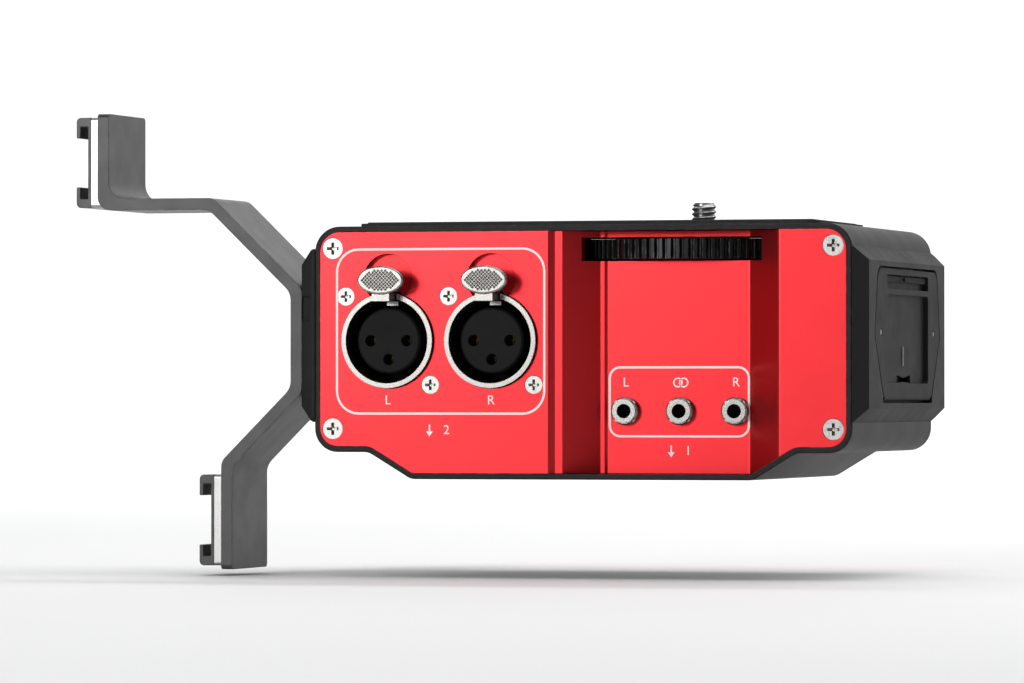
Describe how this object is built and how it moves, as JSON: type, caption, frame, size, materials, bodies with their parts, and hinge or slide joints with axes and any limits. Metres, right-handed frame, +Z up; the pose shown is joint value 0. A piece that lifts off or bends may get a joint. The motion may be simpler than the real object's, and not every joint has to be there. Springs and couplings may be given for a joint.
{
  "type": "camera-mount audio adapter",
  "caption": "Box that bolts under a camera and takes balanced and mini-plug microphone leads, with a thumb wheel, a battery door and a bent arm carrying accessory shoes.",
  "frame": {"origin": "mouth of the tripod socket, at the middle of the base", "axes": "+X to the right seen from the front panel, +Y away from the front panel, +Z up"},
  "size_m": [0.2105, 0.1083, 0.1169],
  "materials": {
    "black_anodised": "satin black anodised aluminium",
    "red_anodised": "satin red anodised aluminium",
    "zinc_screw": "bright zinc plated",
    "black_screw": "black oxide",
    "cover_plastic": "fine grained charcoal plastic",
    "inner_plastic": "plain black plastic",
    "pad_rubber": "matt black rubber",
    "bright_metal": "machined steel",
    "raw_aluminium": "machined aluminium",
    "brass": "turned brass",
    "nickel": "nickel plated",
    "wheel_black": "black anodised, knurled edge",
    "insert_black": "dark glass-filled plastic",
    "knob_black": "black anodised, fluted",
    "slider_black": "black plastic",
    "window_smoke": "smoked window",
    "led_green": "green lamp",
    "led_red": "red lamp",
    "board_green": "green solder mask",
    "bracket_grey": "dark grey satin coat",
    "battery_jacket": "printed metal jacket"
  },
  "bodies": {
    "housing": {"chassis_shell": "black_anodised", "front_panel": "red_anodised", "rear_panel": "red_anodised", "panel_screws": "zinc_screw", "side_cover_right": "cover_plastic", "side_cover_left": "cover_plastic", "side_cover_screws": "black_screw", "top_pad": "pad_rubber", "tripod_bush": "bright_metal", "base_stiffener": "raw_aluminium", "battery_bay": "inner_plastic", "battery_9v": "battery_jacket", "battery_contacts": "nickel", "battery_hinge_pin": "bright_metal", "wheel_cradle": "bright_metal", "wheel_bush": "brass", "cradle_screws": "black_screw", "xlr_shell_left": "nickel", "xlr_shell_right": "nickel", "xlr_insert_left": "insert_black", "xlr_insert_right": "insert_black", "xlr_contacts": "brass", "xlr_screws": "zinc_screw", "mini_jack_left": "nickel", "mini_jack_stereo": "nickel", "mini_jack_right": "nickel", "mini_jack_nuts": "nickel", "output_jack": "nickel", "headphone_jack": "nickel", "rear_jack_nuts": "nickel", "pot_left": "bright_metal", "pot_right": "bright_metal", "pot_phones": "bright_metal", "switch_bodies": "bright_metal", "meter_window": "window_smoke", "level_meter": "led_green", "power_led": "led_red", "main_board": "board_green", "board_standoffs": "bright_metal", "input_transformers": "raw_aluminium", "board_capacitors": "inner_plastic", "bracket_strip": "bracket_grey", "bracket_screws": "black_screw", "shoe_plate_upper": "raw_aluminium", "shoe_plate_lower": "raw_aluminium", "shoe_upper": "black_anodised", "shoe_lower": "black_anodised", "shoe_screws": "zinc_screw"},
    "wheel": {"camera_wheel": "wheel_black", "camera_screw": "bright_metal"},
    "tab_left": {"xlr_tab_left": "nickel"},
    "tab_right": {"xlr_tab_right": "nickel"},
    "door": {"battery_door": "cover_plastic"},
    "latch": {"battery_latch": "slider_black"},
    "gain_left": {"knob_left": "knob_black"},
    "gain_right": {"knob_right": "knob_black"},
    "volume": {"knob_phones": "knob_black"},
    "phantom_left": {"phantom_left_slider": "slider_black"},
    "phantom_right": {"phantom_right_slider": "slider_black"},
    "power": {"power_slider": "slider_black"}
  },
  "joints": [
    {"name": "wheel_turn", "type": "hinge", "parent": "housing", "child": "wheel", "pos_m": [0.0233, -0.011, 0.058], "axis": [0, 0, 1], "continuous": true},
    {"name": "release_tab_left", "type": "slide", "parent": "housing", "child": "tab_left", "axis": [0, 1, 0], "range_m": [0, 0.0025], "stiffness_N_per_m": 300, "springref_m": -0.001},
    {"name": "release_tab_right", "type": "slide", "parent": "housing", "child": "tab_right", "axis": [0, 1, 0], "range_m": [0, 0.0025], "stiffness_N_per_m": 300, "springref_m": -0.001},
    {"name": "door_hinge", "type": "hinge", "parent": "housing", "child": "door", "pos_m": [0.07245, 0.0019, 0.02085], "axis": [0, 1, 0], "range_deg": [0, 100]},
    {"name": "latch_slide", "type": "slide", "parent": "door", "child": "latch", "axis": [0, 0, -1], "range_m": [0, 0.0015], "stiffness_N_per_m": 150, "springref_m": -0.001},
    {"name": "gain_left_turn", "type": "hinge", "parent": "housing", "child": "gain_left", "pos_m": [-0.046, 0.045, 0.04], "axis": [0, -1, 0], "range_deg": [-140, 140]},
    {"name": "gain_right_turn", "type": "hinge", "parent": "housing", "child": "gain_right", "pos_m": [-0.02, 0.045, 0.04], "axis": [0, -1, 0], "range_deg": [-140, 140]},
    {"name": "volume_turn", "type": "hinge", "parent": "housing", "child": "volume", "pos_m": [0.008, 0.045, 0.04], "axis": [0, -1, 0], "range_deg": [-140, 140]},
    {"name": "phantom_left_switch", "type": "slide", "parent": "housing", "child": "phantom_left", "axis": [1, 0, 0], "range_m": [0, 0.004]},
    {"name": "phantom_right_switch", "type": "slide", "parent": "housing", "child": "phantom_right", "axis": [1, 0, 0], "range_m": [0, 0.004]},
    {"name": "power_switch", "type": "slide", "parent": "housing", "child": "power", "axis": [1, 0, 0], "range_m": [0, 0.004]}
  ]
}
